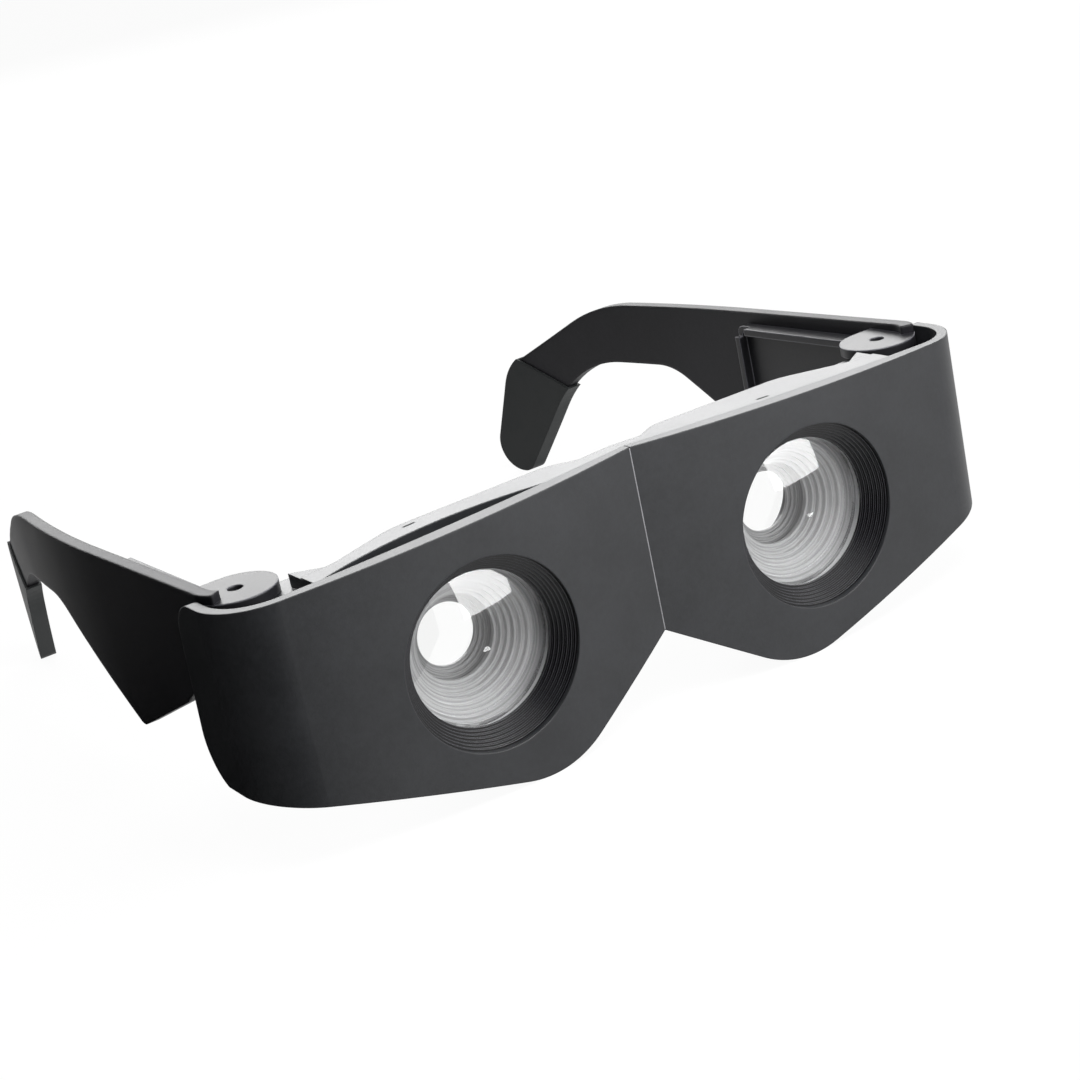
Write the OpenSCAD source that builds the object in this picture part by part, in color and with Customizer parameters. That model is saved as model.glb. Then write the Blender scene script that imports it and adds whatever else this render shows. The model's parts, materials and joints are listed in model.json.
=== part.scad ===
// Hands-free binocular glasses: a wide two-piece front cover over a shallow rear housing,
// one short telescope per eye with its own focus ring, a nose rest, and folding arms.
// Inside the model, depth y runs back from the front face and height z runs up from the
// lens axes. placed() then moves the origin to the centre of the footprint, on the surface
// that the glasses stand on. Side pieces are drawn for +X and mirrored for -X.

/* [Front covers] */
// Overall width of the front
cover_w = 144; // [143:0.5:150]
// Wall of the front covers
cover_t = 1.8; // [1.5:0.1:2.2]
// Height of the top edge above the lens axes, at the seam
cover_top = 22.4; // [22:0.2:25]
// Fall of the top edge towards each end, degrees
cover_top_fall = 2.2; // [0:0.1:3]
// Depth of the top of the ends that wrap round the hinges
return_top_d = 21; // [19:0.5:23]
// Depth of the bottom of those ends
return_low_d = 24.5; // [22:0.5:26]
// Bow of each half: how far its seam lies behind its middle
cover_bow = 2.65; // [2:0.05:3]
// Wall of each half at its middle, behind the bow
cover_mid_t = 3.2; // [3:0.1:3.3]
// Outside radius of the bend at each end
cover_bend_r = 10.5; // [9.5:0.5:11]
// Radius of the upper rear corner of each end
return_top_r = 6.5; // [2:0.5:8]
// Radius of the lower rear corner of each end
return_low_r = 8; // [2:0.5:9]
// Drop of the nose notch's apex below the lens axes
notch_drop = 8.8; // [7:0.2:9.4]
// Slope of the nose notch's sides, degrees
notch_slope = 33.4; // [31:0.2:36]
// Distance from the seam to the lowest corner of each half
lobe_x = 23.3; // [22:0.1:25]
// Radius of that lowest corner
lobe_r = 18; // [12:1:20]
// Rise of the lower edge towards each end, degrees
outer_rise = 15.4; // [13:0.2:18]
// Gap between the two covers at the seam
seam_gap = 0.12; // [0.06:0.02:0.3]
// Radius of the mounting posts behind each cover
post_r = 2.6; // [2.2:0.1:2.8]

/* [Lens hoods] */
// Distance between the two lens axes
lens_spacing = 64; // [63:0.5:66]
// Radius of the round opening in each cover
mouth_r = 15.45; // [15.2:0.05:15.6]
// Depth of the plain land round that opening
mouth_land = 1.2; // [1:0.1:1.4]
// Outside radius of the hood where it seats in the cover
hood_r = 16.6; // [16.3:0.1:16.8]
// Outside radius of the hood's flange, behind the cover
flange_r = 17.4; // [17.2:0.1:17.6]
// Depth of the hood's rear face behind the front face
hood_d = 5; // [4.8:0.1:5.2]
// Radius of the first rib
hood_front_r = 15.1; // [14.9:0.05:15.15]
// Number of ribs in the hood
hood_ribs = 7; // [4:1:9]

/* [Objective lenses] */
// Radius of the objective lens
objective_r = 13.2; // [12.9:0.1:13.5]
// Radius of its domed part
objective_dome_r = 12.4; // [12:0.1:12.4]
// Radius of curvature of its front
objective_curve = 34; // [30:1:60]
// Thickness of its edge
objective_edge = 1.8; // [1.5:0.1:2]

/* [Lens barrels] */
// Outside radius of the barrel behind the flange
barrel_r = 13.4; // [13.3:0.05:13.5]
// Thickness of the barrel's flange
barrel_flange_t = 3; // [2.6:0.1:3.2]
// Depth of the barrel's rear end
barrel_end = 18.6; // [18.4:0.1:18.7]
// Number of steps in the barrel's light baffle
baffle_steps = 8; // [4:1:12]
// Radius of the baffle's small end
baffle_r = 7; // [6.6:0.1:7.4]
// Depth of the baffle's small end
baffle_end = 13.3; // [13:0.1:13.4]

/* [Eyepieces] */
// Outside radius of the sliding eyepiece cell
cell_r = 10.9; // [10.6:0.05:10.95]
// Depth of the cell's front rim at rest
cell_front = 14.4; // [14.35:0.05:14.5]
// Depth of the cell's rear rim at rest
cell_end = 20.2; // [20.1:0.1:20.3]
// Radius of the clear opening in the cell
stop_r = 5.2; // [4:0.1:5.6]
// Radius of the eyepiece lens
eyepiece_r = 8.6; // [8.2:0.1:8.9]
// Thickness of the eyepiece lens at its edge
eyepiece_edge = 2.6; // [2.4:0.1:2.8]
// Radius of curvature of the eyepiece's hollow rear face
eyepiece_curve = 16; // [14:1:40]
// Wall of the ring that holds the eyepiece lens in
retainer_wall = 0.9; // [0.7:0.1:1.1]
// Length of that ring
retainer_len = 1.2; // [0.8:0.1:1.4]
// Travel of the cell each way from rest
focus_travel = 0.7; // [0.4:0.05:0.7]

/* [Focus rings] */
// Outside radius of the focus ring
ring_r = 16.2; // [15.8:0.1:16.3]
// Depth of the ring's front edge
ring_front = 14.3; // [14.2:0.05:14.4]
// Depth of the ring's rear face
ring_end = 20.5; // [20.4:0.1:20.5]
// Radius of each groove in the grip
grip_groove_r = 0.45; // [0.3:0.05:0.6]
// Number of grooves in the grip
grip_grooves = 40; // [24:2:48]

/* [Rear housing] */
// Step in from the cover's outline to the housing's
housing_inset = 0.7; // [0.6:0.1:1]
// Wall of the housing
housing_t = 1.6; // [1.4:0.1:1.8]
// Distance of the housing's ends from the outer faces of the covers' ends
housing_end_in = 6; // [5:0.2:6.6]
// Depth of the housing's rear at the nose
housing_nose_d = 8.6; // [8.2:0.1:9]
// Depth of the housing's rear behind the lenses
housing_lens_d = 14; // [13.6:0.1:14.1]
// Depth of the housing's rear near the hinges
housing_end_d = 9.4; // [9.3:0.1:10.8]
// Distance of the step down in the housing's top edge from those outer faces
end_step_in = 15.4; // [14.8:0.1:16]
// Height above the lens axes of the housing beyond that step
end_step_z = 6; // [4:0.2:8]
// Widest gap between the left cover and the housing's top edge
left_top_gap = 3; // [0.4:0.1:3]
// Widest gap between the right cover and the housing's top edge
right_top_gap = 0.8; // [0.4:0.1:3]
// Distance from the seam to the middle of those gaps
top_gap_x = 35; // [30:1:36]
// Length of those gaps
top_gap_len = 50; // [30:1:52]

/* [Hinges] */
// Distance of the hinge pin from the outer face of the cover's end
hinge_inset = 8.7; // [8.5:0.1:9]
// Depth of the hinge pin behind the front face
hinge_y = 17.5; // [17:0.1:18]
// Radius of the hinge pin
pin_r = 1.25; // [1:0.05:1.5]
// Radius of the housing's knuckle round the pin
knuckle_r = 3.9; // [3.4:0.1:4]
// Height of the knuckle's underside above the lens axes
knuckle_low = 5.4; // [5.2:0.1:7]
// Height of the knuckle's top above the lens axes
knuckle_top = 17.1; // [15:0.1:17.2]
// Width of the gusset beside the knuckle
gusset_w = 9; // [6:0.5:10]
// Depth of that gusset
gusset_d = 6.4; // [4:0.2:6.6]
// Thickness of the bracket's lugs
lug_t = 1.7; // [1.4:0.1:1.8]
// Radius of the lugs round the pin
lug_r = 6.6; // [5.5:0.1:6.6]
// Depth of the top of the pin inside its hole
pin_recess = 0.9; // [0.3:0.1:1.2]

/* [Hinge brackets] */
// Thickness of the bracket's panel
panel_t = 1; // [0.8:0.1:1.2]
// Depth of the bracket's rim, measured from the arm
rim_d = 1.8; // [1.4:0.1:1.8]
// Thickness of the rim
rim_t = 1.3; // [1:0.1:1.6]
// Depth of the ledge along the bracket's top
ledge_d = 3.4; // [2:0.1:3.6]
// Depth behind the front face at which the bracket ends
bracket_end = 62; // [58:0.5:62]
// Depth of the taller rib at the bracket's rear end
rear_rib_d = 2.8; // [2:0.1:2.8]

/* [Arms] */
// Distance from the front face to the end of the arms
arm_reach = 146.6; // [146:0.1:148]
// Thickness of the arms
arm_t = 2.2; // [1.8:0.1:2.4]
// Distance behind the front face at which the arms start to curve in
bow_start = 62; // [62:1:66]
// Radius of that inward curve
bow_r = 320; // [300:10:500]
// Height of the arm's top edge at the hinge
arm_top = 20.6; // [20.2:0.1:20.8]
// Fall of the arm's top edge, degrees
arm_top_fall = 2.3; // [2:0.1:3]
// Distance from the end of the arms to where the top edge turns down
shoulder_back = 37.5; // [34.6:0.1:42.6]
// Radius of that turn
shoulder_r = 45; // [30:5:50]
// Length of the ear hook's back edge, down to the foot
hook_len = 26; // [25:0.5:27]
// Steepness of the ear hook's back edge, degrees
hook_rake = 68; // [66:0.5:70]
// Radius at the top of the ear hook
hook_r = 12; // [6:1:14]
// Radius of the arm's tip
tip_r = 5.5; // [5:0.1:5.5]
// Height of the arm's lower edge beside the hinge
nose_low = 3.2; // [3:0.1:3.4]
// Height of the arm's lower edge just behind the hinge
root_low = -1.2; // [-1.4:0.1:-0.8]
// Distance from the front face to the root's lowest corner
root_corner_y = 57.2; // [56:0.2:59]
// Height of that corner above the lens axes
root_corner_z = -11.6; // [-12:0.2:-11]
// Distance from the end of the arms to the front corner of the arch over the ear
arch_front_back = 58.6; // [56.6:0.5:60.6]
// Height of that corner
arch_front_z = 5.1; // [4:0.1:6]
// Distance from the end of the arms to the rear corner of that arch
arch_rear_back = 28.1; // [28.1:0.5:29.6]
// Height of that corner
arch_rear_z = 4.1; // [3.6:0.1:4.6]

/* [Tip sleeves] */
// Wall of the sleeve over the arm
sleeve_wall = 0.5; // [0.4:0.1:0.6]
// Distance from the end of the arms to the middle of the sleeve's mouth
sleeve_mouth_back = 17.9; // [16.6:0.1:19.6]
// Height of that middle
sleeve_mouth_z = 0.4; // [0:0.1:1]
// Slant of the sleeve's mouth, degrees
sleeve_slant = 22.6; // [15:0.2:28]

/* [Nose rest] */
// Half width of the nose bridge's base
bridge_half_w = 5.5; // [5:0.1:5.8]
// Depth of the bridge's base behind the housing
bridge_d = 3; // [2.6:0.1:3.4]
// Height of the bridge
bridge_h = 11; // [10:0.5:12]
// Spread of the bridge's wings from straight back, degrees
wing_spread = 42; // [38:1:46]
// Length of each wing
wing_len = 8; // [7:0.5:9]
// Thickness of each wing
wing_t = 1.6; // [1.2:0.1:1.8]
// Radius of each nose pad
pad_r = 4.5; // [4:0.1:4.8]
// Height of each nose pad's crown
pad_crown = 2.4; // [1.8:0.1:2.8]

/* [Fasteners] */
// Radius of the screws' shanks
screw_r = 0.9; // [0.7:0.05:1]
// Radius of the screws' heads
screw_head_r = 1.9; // [1.6:0.1:2]
// Height of the screws' heads
screw_head_h = 1.2; // [0.8:0.1:1.4]
// Radius of the bosses that the housing screws go through
boss_r = 3.2; // [3:0.1:3.3]
// Depth of the seat between cover posts and housing bosses
boss_seat = 7; // [6.6:0.1:7.4]
// Thickness of the bosses under the screw heads
boss_t = 2; // [1.6:0.1:2.2]

/* [Clearances] */
// Gap between parts that stay put
fit_gap = 0.05; // [0.02:0.01:0.1]
// Radial gap round screws and pins where they grip
thread_gap = 0.02; // [0.01:0.01:0.04]
// Radial gap of parts that turn or slide in each other
run_gap = 0.08; // [0.04:0.01:0.1]
// Gap between parts that pass each other
free_gap = 0.3; // [0.2:0.05:0.4]

/* [Hidden] */

cover_grey = "#3b3c40";
housing_grey = "#55575b";
hood_black = "#18191b";
ring_black = "#222326";
arm_black = "#2b2c2f";
sleeve_black = "#1f2321";
steel = "#a9adb2";
clear_glass = "#c9dde6";
barrel_grey = "#b4b7ba";
pad_grey = "#4a4c4f";

round_steps = 16;
big_fn = 128;
small_fn = 48;
far = 200;
// Depth past the rear of everything but the arms
past_rear = 40;

half_w = cover_w / 2;
eye_x = lens_spacing / 2;
housing_half_w = half_w - housing_end_in;
end_step_x = half_w - end_step_in;
lobe_z = -notch_drop - lobe_x * tan(notch_slope);
cover_low_z = lobe_z + (half_w - lobe_x) * tan(outer_rise);
cover_end_z = cover_top - half_w * tan(cover_top_fall);

// Outline of the right cover seen from the front, anticlockwise, as [x, z, corner radius]
right_outline = [
  [0, -notch_drop, 0],
  [lobe_x, lobe_z, lobe_r],
  [half_w, cover_low_z, 0],
  [half_w, cover_end_z, 0],
  [0, cover_top, 0]
];

// Outline of the housing before it is stepped in: its top steps down at each end, past the hinges
end_step_top = cover_top - end_step_x * tan(cover_top_fall);
housing_side = [
  [lobe_x, lobe_z, lobe_r],
  [half_w, cover_low_z, 0],
  [half_w, end_step_z, 1.5],
  [end_step_x, end_step_z, 1.5],
  [end_step_x, end_step_top, 0]
];
housing_outline = [
  [0, -notch_drop, 0],
  each housing_side,
  [0, cover_top, 0],
  each [for (i = [4 : -1 : 0]) [-housing_side[i][0], housing_side[i][1], housing_side[i][2]]]
];

// Plan of each half: a wide arc about bow_centre, then the bend about [bend_x, bend_y]
front_r = (pow(eye_x, 2) + pow(cover_bow, 2)) / (2 * cover_bow);
bow_centre = [eye_x, front_r];
bend_x = half_w - cover_bend_r;
bend_y = front_r - sqrt(pow(front_r - cover_bend_r, 2) - pow(bend_x - eye_x, 2));
bend_turn = atan2(bend_x - eye_x, front_r - bend_y);

// The inner face is a flatter arc, tangent to the inner face of the bend
bend_in_r = cover_bend_r - cover_t;
bend_dx = bend_x - eye_x;
bend_dy = bend_y - cover_mid_t;
back_r = (pow(bend_dx, 2) + pow(bend_dy, 2) - pow(bend_in_r, 2)) / (2 * (bend_dy - bend_in_r));
back_centre = [eye_x, cover_mid_t + back_r];
back_turn = atan2(bend_dx, back_r - bend_dy);
flange_front = cover_mid_t + 0.4;

// Side view of the wrapped end, anticlockwise, as [depth, height, corner radius]
end_outline = [
  [0, cover_low_z - 0.5, 0],
  [return_low_d, cover_low_z - 0.5, return_low_r],
  [return_top_d, cover_end_z + 0.1, return_top_r],
  [0, cover_end_z + 0.1, 0]
];

// The surface that the glasses stand on: the lowest point of the covers' rounded lower corners
lobe_half_turn = (180 - notch_slope - outer_rise) / 2;
lobe_centre_z = lobe_z + lobe_r / sin(lobe_half_turn) * sin(outer_rise + lobe_half_turn);
foot_z = lobe_centre_z - lobe_r;

// Depths along each telescope
objective_front = hood_d;
objective_back = hood_d + objective_edge;
barrel_flange_end = hood_d + barrel_flange_t;
cell_seat = cell_front + 1.5;
retainer_front = cell_seat + eyepiece_edge;
ring_lip_t = 1.2;
ring_lip_front = ring_end - ring_lip_t;
hood_back_r = objective_dome_r + 0.1;
bead_h = 0.5;
bead_front = ring_front + 0.9;
bead_len = 0.8;
key_w = 2;
key_t = 0.8;
key_reach = barrel_r + 0.9;
key_front = (bead_front + bead_len + ring_lip_front - key_t) / 2;

// Hinge and arm positions across the width
hinge_x = half_w - hinge_inset;
arm_out_x = half_w - cover_t - free_gap - 0.1;
arm_in_x = arm_out_x - arm_t;
nose_wrap = 35;
pin_top = knuckle_top + free_gap + lug_t - pin_recess;
pin_low = knuckle_low - free_gap - lug_t + 0.3;

// Housing screws, as [x, z] on the right half
cover_screws = [[9.5, 14], [eye_x + 16.5, 15.4], [eye_x + 24, -5]];
head_seat = boss_seat + boss_t;
post_root = cover_mid_t - 0.3;
cover_screw_len = head_seat - cover_mid_t - 0.6;

// Nose rest: where its screw, its wings and its pads are
bridge_screw_z = 2;
bridge_back = housing_nose_d + bridge_d;
bridge_screw_seat = bridge_back - 0.8;
bridge_screw_len = 3.6;
wing_root = [bridge_half_w - 1.2, bridge_back - wing_t / 2];
pad_z = -1;
pad_overhang = 1;

// Bracket screws, as [depth, height]
bracket_screws = [[31, 10.5], [51, -1.5]];

// Corner of an outline made round: points of the arc that replaces corner b
function unit(v) = v / norm(v);
function flat(p) = [p[0], p[1]];
function cross_z(u, v) = u[0] * v[1] - u[1] * v[0];
function arc_about(c, from, turn) = [
  for (i = [0 : round_steps])
    let (a = turn * i / round_steps)
    c + [from[0] * cos(a) - from[1] * sin(a), from[0] * sin(a) + from[1] * cos(a)]
];
function corner(a, b, c) =
  let (u = unit(flat(a) - flat(b)), v = unit(flat(c) - flat(b)), half = acos(u * v) / 2)
  b[2] == 0 ? [flat(b)]
  : let (centre = flat(b) + unit(u + v) * b[2] / sin(half), start = flat(b) + u * b[2] / tan(half))
    arc_about(centre, start - centre, (cross_z(v, u) > 0 ? 1 : -1) * (180 - 2 * half));
function rounded(pts) = [
  for (i = [0 : len(pts) - 1])
    each corner(pts[(i + len(pts) - 1) % len(pts)], pts[i], pts[(i + 1) % len(pts)])
];
// The same anticlockwise outline moved in by d, with its round corners kept concentric
function inset(pts, d) = [
  for (i = [0 : len(pts) - 1])
    let (
      p = flat(pts[(i + len(pts) - 1) % len(pts)]),
      q = flat(pts[i]),
      r = flat(pts[(i + 1) % len(pts)]),
      u = unit(q - p),
      v = unit(r - q),
      side = [-u[1] - v[1], u[0] + v[0]],
      moved = q + side * d / (1 + u * v),
      turn = cross_z(u, v) > 0 ? -d : d
    )
    [moved[0], moved[1], pts[i][2] == 0 ? 0 : max(0.2, pts[i][2] + turn)]
];

// Height above the lens axes at which the reliefs in the housing's top edge begin
relief_low = 5.4;

// Rear contour of the housing seen from above, as [x, depth, corner radius]
housing_flat_half = bridge_half_w + 0.6;
housing_front_r = 4;
nose_slope = [4.5, 3.1];
lens_bulge_in = 6;
lens_bulge_out = 18;
housing_plan = [
  [-housing_half_w, cover_mid_t, housing_front_r],
  [housing_half_w, cover_mid_t, housing_front_r],
  [housing_half_w, housing_end_d, 2],
  [eye_x + lens_bulge_out, housing_end_d + 0.6, 6],
  [eye_x + lens_bulge_in, housing_lens_d, 12],
  [housing_flat_half + nose_slope[0], housing_nose_d + nose_slope[1], 6],
  [housing_flat_half, housing_nose_d, 0],
  [-housing_flat_half, housing_nose_d, 0],
  [-housing_flat_half - nose_slope[0], housing_nose_d + nose_slope[1], 6],
  [-eye_x - lens_bulge_in, housing_lens_d, 12],
  [-eye_x - lens_bulge_out, housing_end_d + 0.6, 6],
  [-housing_half_w, housing_end_d, 2]
];

// Side view of the arm, anticlockwise, as [depth, height, corner radius]
arm_foot = foot_z + sleeve_wall;
arm_end = arm_reach - sleeve_wall;
arm_front = hinge_y - 4;
shoulder_y = arm_reach - shoulder_back;
arch_front_y = arm_reach - arch_front_back;
arch_rear_y = arm_reach - arch_rear_back;
shoulder_z = arm_top - (shoulder_y - arm_front) * tan(arm_top_fall);
foot_back_y = arm_end - tip_r + tip_r * tan(90 - hook_rake / 2);
hook_top = [foot_back_y - hook_len * cos(hook_rake), arm_foot + hook_len * sin(hook_rake)];
arch_slope = 1.27;
foot_front_y = arch_rear_y + (arch_rear_z - arm_foot) / arch_slope;
arm_outline = [
  [arm_front, nose_low, 0],
  [hinge_y + 9, nose_low, 3],
  [hinge_y + 15.5, root_low, 4],
  [root_corner_y, root_corner_z, 3],
  [arch_front_y, arch_front_z, 16],
  [arch_rear_y, arch_rear_z, 30],
  [foot_front_y, arm_foot, 2.6],
  [foot_back_y, arm_foot, tip_r],
  [hook_top[0], hook_top[1], hook_r],
  [shoulder_y, shoulder_z, shoulder_r],
  [arm_front, arm_top, 0]
];

// Side view of the hinge bracket, anticlockwise, as [depth, height, corner radius]
bracket_front = hinge_y + knuckle_r + 0.5;
bracket_top = knuckle_top + free_gap;
bracket_low = knuckle_low - free_gap;
ledge_gap = 4;
bracket_foot_z = root_corner_z + 3.5;
bracket_heel_z = root_corner_z + 6.5;
bracket_outline = [
  [bracket_front, bracket_low - lug_t, 0],
  [hinge_y + 16, bracket_low - lug_t, 0],
  [root_corner_y - 5, bracket_foot_z, 1.5],
  [root_corner_y, bracket_foot_z, 1.5],
  [bracket_end, bracket_heel_z, 1.5],
  [bracket_end, bracket_top - 1, 1.5],
  [bracket_front, bracket_top, 0]
];

// Moves the finished pieces so that the origin is the centre of the footprint
module placed() {
  translate([0, -arm_reach / 2, -foot_z]) children();
}

// Draws the children as they are for +X, or mirrored for -X
module on_side(side) {
  mirror([side < 0 ? 1 : 0, 0, 0]) children();
}

// A front view [x, z] made solid from depth y0 to y1
module front_view(y0, y1) {
  translate([0, y1, 0]) rotate([90, 0, 0]) linear_extrude(y1 - y0) children();
}

// A side view [depth, height] made solid from x0 to x1
module side_view(x0, x1) {
  translate([x0, 0, 0]) rotate([90, 0, 90]) linear_extrude(x1 - x0) children();
}

// A plan view [x, depth] made solid over the full height
module full_height() {
  translate([0, 0, -far / 2]) linear_extrude(far) children();
}

// Children drawn with z as depth, set on the right lens axis
module on_lens_axis() {
  translate([eye_x, 0, 0]) rotate([-90, 0, 0]) children();
}

// A round bar along the depth, from y0 to y1, at [x, z]
module bar(at, r, y0, y1) {
  translate([at[0], y0, at[1]]) rotate([-90, 0, 0])
    cylinder(r = r, h = y1 - y0, $fn = r > 6 ? big_fn : small_fn);
}

// Outer plan of one half: wide arc, bend and straight end, filled back to depth d
module half_plan(d) {
  intersection() {
    translate(bow_centre) circle(front_r, $fn = 720);
    square([bend_x + cover_bend_r * sin(bend_turn), d]);
  }
  translate([bend_x, bend_y]) circle(cover_bend_r, $fn = big_fn);
  translate([eye_x, bend_y]) square([half_w - eye_x, d - bend_y]);
}

// Space behind the cover, inside its wrapped end
module pocket_plan() {
  behind_arc();
  translate([bend_x, bend_y]) circle(bend_in_r, $fn = big_fn);
  translate([0, bend_y]) square([bend_x + bend_in_r, far]);
}

// All that lies behind the arc of the cover's inner face, from the seam to the bend
module behind_arc() {
  intersection() {
    translate(back_centre) circle(back_r, $fn = 720);
    translate([-1, 0]) square([1 + bend_x + bend_in_r * sin(back_turn), far]);
  }
}

// Waste behind the slanted, round-cornered end
module end_waste() {
  side_view(bend_x, half_w + 1) difference() {
    translate([bend_y, -far / 2]) square([far, far]);
    polygon(rounded(end_outline));
  }
}

// One half of the front: a bowed plate with a round opening and an end round the hinge
module front_cover(side) {
  color(cover_grey) placed() on_side(side) difference() {
    union() {
      intersection() {
        front_view(-1, return_low_d) polygon(rounded(right_outline));
        full_height() difference() {
          half_plan(return_low_d);
          pocket_plan();
        }
        translate([seam_gap / 2, -1, -far / 2]) cube(far);
      }
      for (at = cover_screws) bar(at, post_r, post_root, boss_seat);
    }
    end_waste();
    bar([eye_x, 0], mouth_r, -1, far);
    on_lens_axis() translate([0, 0, mouth_land]) cylinder(r = hood_r + fit_gap, h = far, $fn = big_fn);
    for (at = cover_screws) bar(at, screw_r + thread_gap, head_seat - cover_screw_len, boss_seat + 1);
  }
}

// The part of the plan that the housing may fill: behind the cover's inner face
module housing_reach() {
  behind_arc();
  translate([bend_x, bend_y]) circle(bend_in_r - 0.1, $fn = big_fn);
}

// Outer body of the housing, with all hollows still filled
module housing_block(step) {
  intersection() {
    front_view(0, past_rear) polygon(rounded(inset(housing_outline, housing_inset + step)));
    full_height() polygon(rounded(inset(housing_plan, step)));
    full_height() for (side = [-1, 1]) on_side(side) housing_reach();
  }
}

// Web, gusset and knuckle that carry the hinge pin
module hinge_knuckle() {
  web_w = knuckle_r + 6;
  web_front = housing_end_d - housing_t;
  web_back = hinge_y + 1;
  knuckle_h = knuckle_top - knuckle_low;
  gusset_out = end_step_x - housing_inset;
  gusset_top = end_step_top - housing_inset - 0.2;
  translate([hinge_x - web_w, web_front, knuckle_low]) cube([web_w, web_back - web_front, knuckle_h]);
  translate([0, 0, knuckle_low]) linear_extrude(gusset_top - knuckle_low)
    polygon([[gusset_out - gusset_w, web_front], [gusset_out, web_front], [gusset_out, web_front + gusset_d]]);
  translate([hinge_x, hinge_y, knuckle_low]) cylinder(r = knuckle_r, h = knuckle_h, $fn = small_fn * 2);
}

// Shallow curved relief in the housing's top edge, behind the cover
module top_relief(side, gap) {
  r = (pow(top_gap_len / 2, 2) + gap * gap) / (2 * gap);
  on_side(side)
    translate([top_gap_x, cover_mid_t + gap - r, relief_low])
      cylinder(r = r, h = cover_top, $fn = 360);
}

// The shallow tray behind the covers, with barrel collars, screw bosses and hinge knuckles
module rear_housing() {
  open_half = housing_half_w - housing_front_r;
  color(housing_grey) placed() difference() {
    union() {
      difference() {
        housing_block(0);
        housing_block(housing_t);
        intersection() {
          front_view(0, boss_seat) polygon(rounded(inset(housing_outline, housing_inset + housing_t)));
          translate([-open_half, 0, -far / 2]) cube([2 * open_half, boss_seat, far]);
        }
      }
      intersection() {
        housing_block(0.01);
        for (side = [-1, 1]) on_side(side) {
          bar([eye_x, 0], flange_r, barrel_flange_end, past_rear);
          for (at = cover_screws) bar(at, boss_r, boss_seat, past_rear);
        }
      }
      for (side = [-1, 1]) on_side(side) hinge_knuckle();
    }
    for (side = [-1, 1]) on_side(side) {
      bar([eye_x, 0], barrel_r + fit_gap, 0, past_rear);
      for (at = cover_screws) {
        bar(at, screw_r + fit_gap, 0, past_rear);
        bar(at, screw_head_r + free_gap, head_seat, past_rear);
      }
      translate([hinge_x, hinge_y, -far / 2]) cylinder(r = pin_r + run_gap, h = far, $fn = small_fn);
    }
    bar([0, bridge_screw_z], screw_r + fit_gap, 0, past_rear);
    top_relief(-1, left_top_gap);
    top_relief(1, right_top_gap);
  }
}

// Round-headed screw along the depth, with the underside of its head at depth y
module depth_screw(at, y, len) {
  bar(at, screw_r, y - len, y + 0.01);
  bar(at, screw_head_r, y, y + screw_head_h);
}

// Screws that join the housing to the covers, and the one that holds the nose bridge
module housing_screws() {
  color(steel) placed() {
    for (side = [-1, 1]) on_side(side)
      for (at = cover_screws) depth_screw(at, head_seat, cover_screw_len);
    depth_screw([0, bridge_screw_z], bridge_screw_seat, bridge_screw_len);
  }
}

// Ribbed ring that lines the opening and holds the objective lens
module hood_ring(side) {
  rib_d = (hood_d - mouth_land) / hood_ribs;
  rib_in = (hood_front_r - hood_back_r) / (hood_ribs - 1);
  inner = [
    for (i = [hood_ribs - 1 : -1 : 0])
      each [
        [hood_front_r - i * rib_in, mouth_land + (i + 1) * rib_d],
        [hood_front_r - i * rib_in, mouth_land + i * rib_d]
      ]
  ];
  color(hood_black) placed() on_side(side) on_lens_axis() rotate_extrude($fn = big_fn)
    polygon(concat([
      [hood_r, mouth_land],
      [hood_r, flange_front],
      [flange_r, flange_front],
      [flange_r, hood_d]
    ], inner));
}

// Plano-convex objective: a flat rim with a domed front
module objective_lens(side) {
  dome_h = objective_curve - sqrt(pow(objective_curve, 2) - pow(objective_dome_r, 2));
  color(clear_glass, 0.5) placed() on_side(side) on_lens_axis() {
    translate([0, 0, objective_front]) cylinder(r = objective_r, h = objective_edge, $fn = big_fn);
    intersection() {
      translate([0, 0, objective_front - dome_h + objective_curve]) sphere(objective_curve, $fn = big_fn);
      translate([0, 0, objective_front - dome_h - 1])
        cylinder(r = objective_dome_r, h = dome_h + 1.5, $fn = big_fn);
    }
  }
}

// Fixed barrel: lens seat in front, stepped light baffle, and the bore that guides the cell
module lens_barrel(side) {
  step_d = (baffle_end - objective_back) / baffle_steps;
  step_in = (objective_dome_r - baffle_r) / (baffle_steps - 1);
  baffle = [
    for (i = [baffle_steps - 1 : -1 : 0])
      each [
        [objective_dome_r - i * step_in, objective_back + (i + 1) * step_d],
        [objective_dome_r - i * step_in, objective_back + i * step_d]
      ]
  ];
  color(barrel_grey) placed() on_side(side) on_lens_axis() difference() {
    rotate_extrude($fn = big_fn)
      polygon(concat([
        [flange_r, hood_d],
        [flange_r, barrel_flange_end],
        [barrel_r, barrel_flange_end],
        [barrel_r, bead_front],
        [barrel_r + bead_h, bead_front],
        [barrel_r + bead_h, bead_front + bead_len],
        [barrel_r, bead_front + bead_len],
        [barrel_r, barrel_end],
        [cell_r + run_gap, barrel_end],
        [cell_r + run_gap, baffle_end]
      ], baffle, [
        [objective_r + fit_gap, objective_back],
        [objective_r + fit_gap, hood_d]
      ]));
    for (turn = [0, 180]) rotate(turn)
      translate([0, -key_w / 2 - free_gap / 2, key_front - focus_travel - free_gap])
        cube([far, key_w + free_gap, far]);
  }
}

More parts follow.
